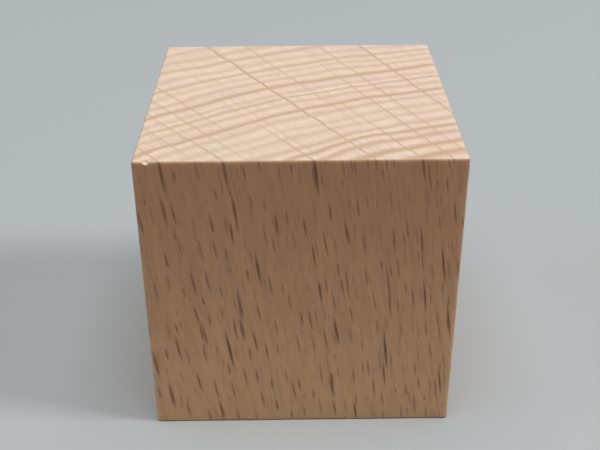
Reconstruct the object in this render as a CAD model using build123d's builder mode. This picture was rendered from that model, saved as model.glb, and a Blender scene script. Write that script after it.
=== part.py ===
"""A beech block: one solid cube cut from a planed square stick.

The stick is planed square, and the block is cross-cut from it to a length equal to its side, so
the end grain shows on the top and bottom faces and the long grain on the four upright ones. All
twelve edges are lightly eased, and one arris carries a small bruise from a knock.

Millimetres, +Z up along the grain. The origin is the centre of the bottom face, the face that
the block rests on. The front is -Y, and +X is to its right.
"""

import os

from build123d import *

# Driving dimensions
stick_side = 30.0        # side of the planed square stick, along X and along Y
cut_length = 30.0        # length cut from the stick, along the grain
arris_radius = 0.25      # easing of all twelve edges

# The bruise, a shallow rounded dent in the front edge of the top face
bruise_inset = 1.3       # from the block's left side to the middle of the bruise
bruise_width = 0.6       # along the edge
bruise_depth = 0.22      # into the edge, square to its rounding

os.makedirs("parts", exist_ok=True)

half_side = stick_side / 2

# The dent is a shallow cap of a sphere, pressed in at 45 degrees between the two faces. Rounding
# the edge takes its crown in from the sharp corner line, by the same amount on both faces.
bruise_sphere_radius = (bruise_width**2 / 4 + bruise_depth**2) / (2 * bruise_depth)
crown_setback = arris_radius * (1 - 0.5**0.5)
outwards = Vector(0, -1, 1).normalized()
crown = Vector(
    bruise_inset - half_side,
    crown_setback - half_side,
    cut_length - crown_setback,
)
bruise_centre = crown + outwards * (bruise_sphere_radius - bruise_depth)

with BuildPart() as beech_cube:
    with BuildSketch(Plane.XY):
        Rectangle(stick_side, stick_side)
    extrude(amount=cut_length)
    fillet(beech_cube.edges(), radius=arris_radius)
    with Locations(bruise_centre):
        Sphere(bruise_sphere_radius, mode=Mode.SUBTRACT)

beech_cube.part.label = "beech_cube"
export_step(beech_cube.part, "parts/beech_cube.step")
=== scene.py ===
"""A beech cube on a sheet of pale grey card: one solid block, cut from a planed square stick.

The end grain shows on its top and bottom, and the long grain, with the dark flecks of the rays,
on its four upright faces. The wood is one solid pattern, so rings and rays run over the edges.
"""

import math

import bmesh
import bpy
from mathutils import Matrix, Vector, noise


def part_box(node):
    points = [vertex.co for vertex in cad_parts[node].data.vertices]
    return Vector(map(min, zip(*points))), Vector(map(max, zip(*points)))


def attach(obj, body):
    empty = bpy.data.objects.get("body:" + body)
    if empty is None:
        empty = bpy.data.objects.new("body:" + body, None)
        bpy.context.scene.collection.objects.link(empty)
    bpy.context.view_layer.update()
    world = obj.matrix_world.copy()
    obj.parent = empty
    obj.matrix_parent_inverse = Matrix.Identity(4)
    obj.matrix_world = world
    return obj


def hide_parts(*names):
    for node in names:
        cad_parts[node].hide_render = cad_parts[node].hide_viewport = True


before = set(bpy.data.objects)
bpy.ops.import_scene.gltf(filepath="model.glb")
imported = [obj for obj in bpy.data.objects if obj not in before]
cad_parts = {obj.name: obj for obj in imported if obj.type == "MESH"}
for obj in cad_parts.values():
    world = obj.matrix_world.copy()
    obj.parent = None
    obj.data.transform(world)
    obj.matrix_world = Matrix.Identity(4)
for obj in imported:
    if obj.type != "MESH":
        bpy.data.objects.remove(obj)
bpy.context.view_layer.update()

# ---------------------------------------------------------------------------------------------
# Camera. A close-up lens, about three and a half edges from the cube and square to its front,
# looking down on the front face and the end grain.
# ---------------------------------------------------------------------------------------------
MM = 0.001
low, high = (Vector(corner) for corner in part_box("beech_cube"))
edge = high.z - low.z
centre = (low + high) / 2

CAMERA_PLACE = Vector((-0.021, -2.996, 2.227)) * edge
CAMERA_TURN = math.radians(-0.4)
CAMERA_DOWN = math.radians(30.1)
CAMERA_ROLL = math.radians(-0.4)
LENS = 56.8
SENSOR = 36.0

camera_data = bpy.data.cameras.new("camera")
camera_data.lens = LENS
camera_data.sensor_width = SENSOR
camera_data.clip_start = 1 * MM
camera = bpy.data.objects.new("camera", camera_data)
camera.matrix_world = (
    Matrix.Translation(CAMERA_PLACE)
    @ Matrix.Rotation(CAMERA_TURN, 4, "Z")
    @ Matrix.Rotation(math.pi / 2 - CAMERA_DOWN, 4, "X")
    @ Matrix.Rotation(CAMERA_ROLL, 4, "Z")
)
bpy.context.collection.objects.link(camera)
bpy.context.scene.camera = camera
bpy.context.scene.view_settings.view_transform = "Standard"

# ---------------------------------------------------------------------------------------------
# Card. The cube stands on a large sheet of matt grey card, lit in a bright room: a broad even
# light from above, one softbox to the right and a weaker, larger one to the left.
# ---------------------------------------------------------------------------------------------
CARD_SIDE = 1500 * MM
CARD_COLOUR = "B6BBBD"
ROOM_COLOUR = "F2F4F6"
ROOM_LEVEL = 0.06


def linear(hex_colour, alpha=1.0):
    """The linear colour of an sRGB hex value, as a shader socket takes it."""
    parts = [int(hex_colour[i : i + 2], 16) / 255 for i in (0, 2, 4)]
    return [p / 12.92 if p <= 0.04045 else ((p + 0.055) / 1.055) ** 2.4 for p in parts] + [alpha]


def node(tree, kind, inputs=None, **settings):
    """Adds a node with its settings. Each input is a value, a socket or a node's first output."""
    new = tree.nodes.new(kind)
    for name, value in settings.items():
        setattr(new, name, value)
    for socket, value in (inputs or {}).items():
        if isinstance(value, bpy.types.Node):
            value = value.outputs[0]
        if isinstance(value, bpy.types.NodeSocket):
            tree.links.new(value, new.inputs[socket])
        else:
            new.inputs[socket].default_value = value
    return new


def new_material(name):
    """A material with its Principled shader, which the caller feeds."""
    material = bpy.data.materials.new(name)
    material.use_nodes = True
    return material, material.node_tree, material.node_tree.nodes["Principled BSDF"]


# Matt card: uncoated paper pulp, so it scatters nearly all light and shows no gloss.
card_material, card_tree, card_shader = new_material("matt_grey_card")
card_shader.inputs["Base Color"].default_value = linear(CARD_COLOUR)
card_shader.inputs["Roughness"].default_value = 0.9
card_shader.inputs["Specular IOR Level"].default_value = 0.2

bm = bmesh.new()
bmesh.ops.create_grid(bm, x_segments=1, y_segments=1, size=CARD_SIDE / 2)
bmesh.ops.translate(bm, vec=(0, 0, low.z), verts=bm.verts)
card_mesh = bpy.data.meshes.new("card")
bm.to_mesh(card_mesh)
bm.free()
card_mesh.materials.append(card_material)
card = bpy.data.objects.new("card", card_mesh)
bpy.context.collection.objects.link(card)

# The room lights the cube faintly. Looked at straight on or in a gloss, it is simply pale.
world = bpy.data.worlds.new("bright_room")
world.use_nodes = True
room = world.node_tree.nodes["Background"]
room.inputs["Color"].default_value = linear(ROOM_COLOUR)
seen_by = node(world.node_tree, "ShaderNodeLightPath")
seen = seen_by.outputs["Is Camera Ray"]
for ray_kind in ("Is Glossy Ray", "Is Transmission Ray"):
    seen = node(
        world.node_tree, "ShaderNodeMath", {0: seen, 1: seen_by.outputs[ray_kind]}, operation="MAXIMUM"
    )
room_level = node(
    world.node_tree, "ShaderNodeMapRange", {"Value": seen, "To Min": ROOM_LEVEL, "To Max": 1.0}
)
world.node_tree.links.new(room_level.outputs[0], room.inputs["Strength"])
bpy.context.scene.world = world


def softbox(name, azimuth, elevation, away, side, level):
    """A square lamp aimed at the cube. Its level is the light it gives a surface facing it, in
    shares of what a colour needs to render as written. Azimuth 0 is the cube's right, +X."""
    towards = Vector((
        math.cos(azimuth) * math.cos(elevation),
        math.sin(azimuth) * math.cos(elevation),
        math.sin(elevation),
    ))
    lamp = bpy.data.lights.new(name, "AREA")
    lamp.shape = "SQUARE"
    lamp.size = side
    lamp.energy = level * math.pi**2 * away**2
    lamp_object = bpy.data.objects.new(name, lamp)
    lamp_object.matrix_world = (
        Matrix.Translation(centre + towards * away)
        @ towards.to_track_quat("Z", "Y").to_matrix().to_4x4()
    )
    lamp_object.visible_camera = False
    bpy.context.collection.objects.link(lamp_object)


softbox("right_softbox", math.radians(-10), math.radians(44), 1.0, 0.2, 0.385)
softbox("left_softbox", math.radians(190), math.radians(40), 1.0, 0.5, 0.08)
softbox("overhead_softbox", math.radians(-90), math.radians(85), 1.2, 0.95, 0.76)

# ---------------------------------------------------------------------------------------------
# Beech cube. European beech, planed square, cross-cut to its length and fine-sanded, with its
# edges just eased by the paper. A knock has left a small bruise in the top front edge.
# ---------------------------------------------------------------------------------------------
ARRIS = 0.25 * MM
ARRIS_STEPS = 5
GRID = 0.3 * MM
BRUISE_INSET = 1.3 * MM
BRUISE_WIDTH = 0.6 * MM
BRUISE_DEPTH = 0.22 * MM
BRUISE_GRID = 0.06 * MM
WEAR_DEPTH = 0.05 * MM      # the most that handling has rubbed off an edge
WEAR_REACH = 0.7 * MM       # how far from the edge the rubbing fades out
WEAR_SPACING = 2.5 * MM     # between one rubbed place and the next

bm = bmesh.new()
bmesh.ops.create_cube(bm, size=1.0)
bmesh.ops.scale(bm, vec=high - low, verts=bm.verts)
bmesh.ops.translate(bm, vec=centre, verts=bm.verts)
bmesh.ops.bevel(
    bm, geom=bm.edges[:], offset=ARRIS, offset_type="OFFSET", segments=ARRIS_STEPS,
    profile=0.5, affect="EDGES", material=-1,
)
bmesh.ops.subdivide_edges(
    bm,
    edges=[e for e in bm.edges if e.calc_length() > 10 * ARRIS],
    cuts=round(edge / GRID) - 1,
    use_grid_fill=True,
)

# The bruise is a shallow round cap pressed in at 45 degrees, so the grid is cut finer around it.
outwards = Vector((0, -1, 1)).normalized()
crown_setback = ARRIS * (1 - 0.5**0.5)
bruise = Vector((low.x + BRUISE_INSET, low.y + crown_setback, high.z - crown_setback))
bruise_radius = (BRUISE_WIDTH**2 / 4 + BRUISE_DEPTH**2) / (2 * BRUISE_DEPTH)
bruise_centre = bruise + outwards * (bruise_radius - BRUISE_DEPTH)
fine_cuts = [(Vector((1, 0, 0)), bruise.x + step * BRUISE_GRID) for step in range(-6, 7)]
fine_cuts += [(Vector((0, 1, 0)), low.y + ARRIS + step * BRUISE_GRID) for step in range(1, 4)]
fine_cuts += [(Vector((0, 0, 1)), high.z - ARRIS - step * BRUISE_GRID) for step in range(1, 4)]
for axis, at in fine_cuts:
    bmesh.ops.bisect_plane(
        bm, geom=bm.verts[:] + bm.edges[:] + bm.faces[:], dist=0.001 * MM, plane_co=axis * at, plane_no=axis
    )

# Handling has rubbed the edges unevenly. The wear attribute is up to 1 on a rubbed edge, 2 in the bruise,
# and else 0. The bruise is painted palest, partly for its crushed fibres and partly as a painted highlight.
bm.normal_update()
wear_and_bruise_highlight = bm.verts.layers.float.new("wear_and_bruise_highlight")
for vertex in bm.verts:
    from_faces = sorted(min(vertex.co[i] - low[i], high[i] - vertex.co[i]) for i in range(3))
    near_edge = max(0.0, 1 - from_faces[1] / WEAR_REACH) ** 2
    rubbed = near_edge * (0.5 + 0.5 * noise.noise(vertex.co / WEAR_SPACING))
    vertex.co -= vertex.normal * WEAR_DEPTH * rubbed
    vertex[wear_and_bruise_highlight] = rubbed
    from_bruise = vertex.co - bruise_centre
    if from_bruise.length < bruise_radius:
        vertex.co = bruise_centre + from_bruise.normalized() * bruise_radius
        vertex[wear_and_bruise_highlight] = 2.0

cube_mesh = bpy.data.meshes.new("beech_cube_wood")
bm.to_mesh(cube_mesh)
bm.free()
cube_mesh.shade_smooth()
cube = bpy.data.objects.new("beech_cube_wood", cube_mesh)
bpy.context.collection.objects.link(cube)

# Sanded European beech, diffuse-porous and pinkish tan. The end grain is pale, crossed by the thin
# soft lines of the growth rings and by the rays, which run out from the pith. On the long grain
# the ends of the same rays are dark brown flecks, pointed at both ends. It is matt all over.
LONG_GRAIN_FOOT = "D3A378"
LONG_GRAIN_PAINTED_SHADE = "BC8762"     # painted shade: the sides are painted darker towards the top
LONG_RAY = "78472C"
END_GRAIN_PINK = "E6CBBA"
END_GRAIN_STRAW = "E5CFB5"
END_RING = "C7A688"
END_RAY = "C4A686"
# Pale worn wood for the rubbed edges; in the bruise it is partly a painted highlight.
WORN_WOOD_AND_HIGHLIGHT = "F0D9B8"
GRAIN_LEAN = math.radians(8)     # the grain leans to the left going up
PITH = Vector((31.2 * MM, -63.6 * MM, high.z))      # centre of the rings, level with the top
RAY_CENTRE = Vector((45.4 * MM, -82.7 * MM, high.z))     # where the rays would meet
LONG_ROUGHNESS = 0.55
END_ROUGHNESS = 0.7
RELIEF = 0.3 * MM     # for a tone of 1, so 0.03 mm between a fibre or a pore and the wood beside it

beech, beech_tree, beech_shader = new_material("sanded_beech")


def beech_node(kind, inputs=None, **settings):
    """A node of the beech's own tree."""
    return node(beech_tree, kind, inputs, **settings)


place = beech_node("ShaderNodeTexCoord")
turned = {"Rotation": (0, -GRAIN_LEAN, 0), "Scale": (MM, MM, MM), "Vector": place.outputs["Object"]}
from_pith = beech_node("ShaderNodeMapping", turned | {"Location": PITH}, vector_type="TEXTURE")
from_rays = beech_node("ShaderNodeMapping", turned | {"Location": RAY_CENTRE}, vector_type="TEXTURE")

# The trunk never grew quite true: rings and rays wander a little, slowly along the grain.
along_slowly = beech_node("ShaderNodeVectorMath", {0: from_pith, 1: (1, 1, 0.3)}, operation="MULTIPLY")
wander = beech_node("ShaderNodeTexNoise", {"Vector": along_slowly, "Scale": 0.14, "Detail": 2.0})
ring_sway = beech_node(
    "ShaderNodeVectorMath",
    {0: wander.outputs["Color"], 1: (2.0, 2.0, 0), 2: (-1.0, -1.0, 0)},
    operation="MULTIPLY_ADD",
)
quiver = beech_node("ShaderNodeTexNoise", {"Vector": along_slowly, "Scale": 0.4, "Detail": 2.0})
ray_sway = beech_node(
    "ShaderNodeVectorMath",
    {0: quiver.outputs["Color"], 1: (0.5, 0.5, 0), 2: (-0.25, -0.25, 0)},
    operation="MULTIPLY_ADD",
)

# Growth rings, from the pith out: radius in mm and tone, strong after a hard winter. The radius
# becomes a count of rings, and the wood darkens towards each whole number.
RINGS = [
    (50, 0.5), (53, 1.0), (55, 1.0), (57, 0.8), (58.5, 1.0), (60, 0.6), (62, 0.4), (63.5, 0.4),
    (65.5, 0.5), (67, 1.0), (69, 0.5), (70.5, 0.7), (71.5, 0.4), (73.5, 1.0), (75.5, 0.5), (77, 0.4),
    (78.5, 0.7), (80.5, 0.4), (83, 0.7), (85.5, 0.5), (88, 0.4), (90.5, 0.4), (93, 0.4),
]
ring_place = beech_node("ShaderNodeVectorMath", {0: from_pith, 1: ring_sway}, operation="ADD")
ring_flat = beech_node("ShaderNodeVectorMath", {0: ring_place, 1: (1, 1, 0)}, operation="MULTIPLY")
radius = beech_node("ShaderNodeVectorMath", {0: ring_flat}, operation="LENGTH").outputs["Value"]
first_ring, last_ring = RINGS[0][0], RINGS[-1][0]
ring_gaps = len(RINGS) - 1
ring_share = beech_node(
    "ShaderNodeMapRange", {"Value": radius, "From Min": float(first_ring), "From Max": float(last_ring)}
)
ring_ramp = beech_node("ShaderNodeValToRGB", {"Fac": ring_share})
stops = ring_ramp.color_ramp.elements
for ring, (ring_radius, tone) in enumerate(RINGS):
    at = (ring_radius - first_ring) / (last_ring - first_ring)
    stop = stops[0] if ring == 0 else stops[-1] if ring == ring_gaps else stops.new(at)
    stop.position = at
    stop.color = (ring / ring_gaps, tone, 0, 1)
ring_parts = beech_node("ShaderNodeSeparateColor", {"Color": ring_ramp.outputs["Color"]})
ring_number = beech_node(
    "ShaderNodeMath", {0: ring_parts.outputs["Red"], 1: float(ring_gaps)}, operation="MULTIPLY"
)
to_ring = beech_node("ShaderNodeMath", {0: ring_number, 1: 0.5}, operation="PINGPONG")
late = beech_node(
    "ShaderNodeMapRange",
    {"Value": to_ring, "From Min": 0.4, "From Max": 0.0},
    interpolation_type="SMOOTHSTEP",
)
late_wood = beech_node("ShaderNodeMath", {0: late, 1: ring_parts.outputs["Green"]}, operation="MULTIPLY")

# Rays: thin sheets that stand on edge and run out from the pith. They are told by how far round
# they lie (in mm at the middle of the block), how far out, and how far up the grain.
ray_place = beech_node("ShaderNodeVectorMath", {0: from_rays, 1: ray_sway}, operation="ADD")
ray_axes = beech_node("ShaderNodeSeparateXYZ", {0: ray_place})
ray_turn = beech_node(
    "ShaderNodeMath", {0: ray_axes.outputs["X"], 1: ray_axes.outputs["Y"]}, operation="ARCTAN2"
)
to_rays = -RAY_CENTRE.xy / MM
RAY_REACH = to_rays.length
RAY_MIDDLE = math.atan2(to_rays.x, to_rays.y)
ray_round = beech_node(
    "ShaderNodeMath", {0: ray_turn, 1: RAY_REACH, 2: -RAY_MIDDLE * RAY_REACH}, operation="MULTIPLY_ADD"
)
ray_flat = beech_node("ShaderNodeVectorMath", {0: ray_place, 1: (1, 1, 0)}, operation="MULTIPLY")
ray_out = beech_node("ShaderNodeVectorMath", {0: ray_flat}, operation="LENGTH").outputs["Value"]
ray_space = beech_node("ShaderNodeCombineXYZ", {"X": ray_round, "Y": ray_out, "Z": ray_axes.outputs["Z"]})


def spindle(shares, tone):
    """A ray cut across: a long thin sliver. The shares say how far off it is, in half widths and
    half heights. Its tone is full at the middle and fades out to the rim."""
    reach = beech_node("ShaderNodeVectorMath", {0: shares}, operation="LENGTH").outputs["Value"]
    return beech_node(
        "ShaderNodeMapRange",
        {"Value": reach, "From Min": 1.0, "From Max": 0.2, "To Max": tone},
        interpolation_type="SMOOTHSTEP",
    )


def scattered_rays(spacing, half_width, half_height, level):
    """Rays scattered at this spacing round, out and up, in mm, each with its own height and tone."""
    cells = beech_node(
        "ShaderNodeVectorMath", {0: ray_space, 1: [1 / s for s in spacing]}, operation="MULTIPLY"
    )
    ray = beech_node("ShaderNodeTexVoronoi", {"Vector": cells, "Scale": 1.0, "Randomness": 0.8})
    own = beech_node("ShaderNodeSeparateColor", {"Color": ray.outputs["Color"]})
    off = beech_node("ShaderNodeVectorMath", {0: cells, 1: ray.outputs["Position"]}, operation="SUBTRACT")
    axes = beech_node("ShaderNodeSeparateXYZ", {0: off})
    tallest = half_height / spacing[2]
    height = beech_node(
        "ShaderNodeMapRange", {"Value": own.outputs["Red"], "To Min": 0.4 * tallest, "To Max": tallest}
    )
    across = beech_node(
        "ShaderNodeMath", {0: axes.outputs["X"], 1: spacing[0] / half_width}, operation="MULTIPLY"
    )
    along = beech_node("ShaderNodeMath", {0: axes.outputs["Z"], 1: height}, operation="DIVIDE")
    both = beech_node("ShaderNodeCombineXYZ", {"X": across, "Z": along})
    tone = beech_node(
        "ShaderNodeMapRange", {"Value": own.outputs["Green"], "To Min": 0.3 * level, "To Max": level}
    )
    return spindle(both, tone)


broad_rays = scattered_rays((1.3, 40.0, 3.8), 0.15, 2.1, 0.8)
fine_rays = scattered_rays((0.9, 20.0, 2.8), 0.1, 1.3, 0.33)

# The strongest rays: where each crosses the front face, in mm from its left side and below the
# top, then half its height and its tone. Those above the top show on the end grain alone.
STRONG_RAYS = [
    (2.6, 1.2, 3.2, 0.85), (2.5, 5.0, 2.2, 0.7), (5.7, -1.0, 1.6, 0.4), (8.3, 0.8, 3.0, 0.8),
    (9.0, 5.0, 2.2, 0.9), (12.2, -2.6, 3.2, 0.8), (10.2, -1.0, 1.8, 0.4), (16.3, 1.3, 3.0, 1.0),
    (21.4, -1.4, 3.4, 1.0), (24.4, -1.6, 2.2, 0.4), (25.8, 0.6, 2.4, 0.8), (28.5, -0.4, 1.5, 0.7),
    (30.3, -1.0, 2.4, 0.5), (33.6, -1.4, 3.2, 0.85),
    (8.6, 7.4, 1.7, 0.8), (12.8, 6.6, 1.7, 0.8), (15.4, 6.8, 1.5, 0.75), (19.2, 7.3, 1.7, 0.8),
    (26.1, 8.6, 2.2, 0.85), (28.4, 11.0, 3.2, 1.0), (11.0, 11.4, 2.2, 0.95), (19.4, 13.0, 2.6, 0.6),
    (16.8, 14.0, 1.8, 0.85), (26.7, 14.6, 2.6, 0.9), (23.3, 13.6, 3.2, 0.6), (9.1, 15.4, 2.4, 0.8),
    (9.2, 18.2, 1.9, 0.8), (18.4, 18.6, 2.3, 0.95), (7.9, 20.8, 3.3, 1.0), (23.3, 21.0, 3.2, 1.0),
    (29.4, 17.5, 3.0, 0.9), (0.5, 22.5, 2.2, 0.85), (18.0, 25.3, 2.3, 0.9), (20.5, 28.8, 1.9, 0.85),
    (23.3, 24.0, 2.0, 0.8), (28.9, 25.0, 2.2, 0.8), (2.8, 20.5, 2.0, 0.7), (1.8, 26.5, 2.2, 0.8),
    (6.8, 28.5, 2.0, 0.8), (14.2, 26.0, 1.8, 0.6), (26.5, 28.0, 2.0, 0.6), (5.2, 18.5, 1.5, 0.7),
]
STRONG_RAY_HALF_WIDTH = 0.2
strong_rays = None
for from_left, below_top, half_height, tone in STRONG_RAYS:
    crossing = Vector((low.x, low.y, high.z)) / MM + Vector((from_left, 0, -below_top)) - RAY_CENTRE / MM
    crossing.rotate(Matrix.Rotation(GRAIN_LEAN, 3, "Y"))
    round_place = (math.atan2(crossing.x, crossing.y) - RAY_MIDDLE) * RAY_REACH
    offset = beech_node(
        "ShaderNodeVectorMath",
        {
            0: ray_space,
            1: (1 / STRONG_RAY_HALF_WIDTH, 0, 1 / half_height),
            2: (-round_place / STRONG_RAY_HALF_WIDTH, 0, -crossing.z / half_height),
        },
        operation="MULTIPLY_ADD",
    )
    ray = spindle(offset, tone)
    strong_rays = ray if strong_rays is None else beech_node(
        "ShaderNodeMath", {0: strong_rays, 1: ray}, operation="MAXIMUM"
    )

# A ray's end is crisp on the long grain. On the end grain its side shows, paler and softer.
end_strong = beech_node("ShaderNodeMath", {0: strong_rays, 1: 0.7}, operation="POWER")
end_scattered = beech_node("ShaderNodeMath", {0: broad_rays, 1: 0.5}, operation="MULTIPLY")
end_rays = beech_node("ShaderNodeMath", {0: end_strong, 1: end_scattered}, operation="MAXIMUM")
cut_rays = beech_node("ShaderNodeMath", {0: strong_rays, 1: broad_rays}, operation="MAXIMUM")
long_rays = beech_node("ShaderNodeMath", {0: cut_rays, 1: fine_rays}, operation="MAXIMUM")


def grain(space, stretch, low_tone, high_tone, detail=2.0):
    """Noise in this space, stretched to this many turns per mm each way, between two tones."""
    stretched = beech_node("ShaderNodeVectorMath", {0: space, 1: stretch}, operation="MULTIPLY")
    shades = beech_node("ShaderNodeTexNoise", {"Vector": stretched, "Scale": 1.0, "Detail": detail})
    return beech_node(
        "ShaderNodeMapRange",
        {"Value": shades, "From Min": 0.3, "From Max": 0.7, "To Min": low_tone, "To Max": high_tone},
    )


def shaded(colour, tone):
    """The colour made darker or lighter by the tone."""
    return beech_node("ShaderNodeVectorMath", {0: colour, "Scale": tone}, operation="SCALE")


def blended(share, first, second):
    """From the first colour to the second, by the share."""
    return beech_node("ShaderNodeMix", {0: share, 6: first, 7: second}, data_type="RGBA").outputs[2]


# Fibres streak the long grain. On the end grain the fine rings and fine rays cross like a weave,
# with a speckle of open pores. Real pores are under 0.1 mm: these are about 0.3 mm, to show.
ring_space = beech_node("ShaderNodeCombineXYZ", {"X": ray_round, "Y": radius, "Z": 0.0})
fibres = grain(ray_space, (2.6, 1.2, 0.3), 0.94, 1.06, detail=3.0)
broad_fibres = grain(ray_space, (0.7, 0.3, 0.12), 0.95, 1.05)
fine_rings = grain(ring_space, (0.08, 1.1, 0), 0.93, 1.05)
thin_rays = grain(ring_space, (1.3, 0.08, 0), 0.96, 1.04)
pores = grain(ring_space, (3.2, 3.2, 0), 0.95, 1.05, detail=3.0)
weave = beech_node("ShaderNodeMath", {0: fine_rings, 1: thin_rays}, operation="MULTIPLY")
end_tone = beech_node("ShaderNodeMath", {0: weave, 1: pores}, operation="MULTIPLY")
long_tone = beech_node("ShaderNodeMath", {0: fibres, 1: broad_fibres}, operation="MULTIPLY")

# End grain shows where the surface faces along the grain.
facing = beech_node("ShaderNodeSeparateXYZ", {0: place.outputs["Normal"]})
facing_up = beech_node("ShaderNodeMath", {0: facing.outputs["Z"]}, operation="ABSOLUTE")
end_share = beech_node(
    "ShaderNodeMapRange",
    {"Value": facing_up, "From Min": 0.55, "From Max": 0.85},
    interpolation_type="SMOOTHSTEP",
)

bands = grain(ring_space, (0.03, 0.45, 0), 0.0, 1.0)
end_base = shaded(blended(bands, linear(END_GRAIN_PINK), linear(END_GRAIN_STRAW)), end_tone)
end_grain = blended(end_rays, blended(late_wood, end_base, linear(END_RING)), linear(END_RAY))

# Painted shade: the long grain is blended to a darker colour towards the top of the cube.
height = beech_node("ShaderNodeSeparateXYZ", {0: place.outputs["Object"]}).outputs["Z"]
painted_shade_share = beech_node(
    "ShaderNodeMapRange",
    {"Value": height, "From Min": low.z, "From Max": high.z},
    interpolation_type="SMOOTHSTEP",
)
long_base = shaded(blended(painted_shade_share, linear(LONG_GRAIN_FOOT), linear(LONG_GRAIN_PAINTED_SHADE)), long_tone)
long_grain = blended(long_rays, long_base, linear(LONG_RAY))

# Rubbed edges are painted paler as worn wood. The bruise is painted palest, partly for its crushed fibres
# and partly as a painted highlight.
wear_and_highlight = beech_node("ShaderNodeAttribute", attribute_name="wear_and_bruise_highlight").outputs["Fac"]
wear_and_highlight_share = beech_node("ShaderNodeMath", {0: wear_and_highlight, 1: 0.42}, operation="MULTIPLY")
wood = blended(wear_and_highlight_share, blended(end_share, long_grain, end_grain), linear(WORN_WOOD_AND_HIGHLIGHT))
beech_tree.links.new(wood, beech_shader.inputs["Base Color"])

roughness = beech_node(
    "ShaderNodeMapRange", {"Value": end_share, "To Min": LONG_ROUGHNESS, "To Max": END_ROUGHNESS}
)
beech_tree.links.new(roughness.outputs[0], beech_shader.inputs["Roughness"])

# Fibres stand proud along the grain, and across it the open ends of the pores lie a little lower.
relief = beech_node("ShaderNodeMix", {0: end_share, 2: fibres, 3: pores}, data_type="FLOAT")
bump = beech_node("ShaderNodeBump", {"Height": relief.outputs[0], "Distance": RELIEF, "Strength": 0.5})
beech_tree.links.new(bump.outputs[0], beech_shader.inputs["Normal"])
cube_mesh.materials.append(beech)

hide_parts("beech_cube")
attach(cube, "root")
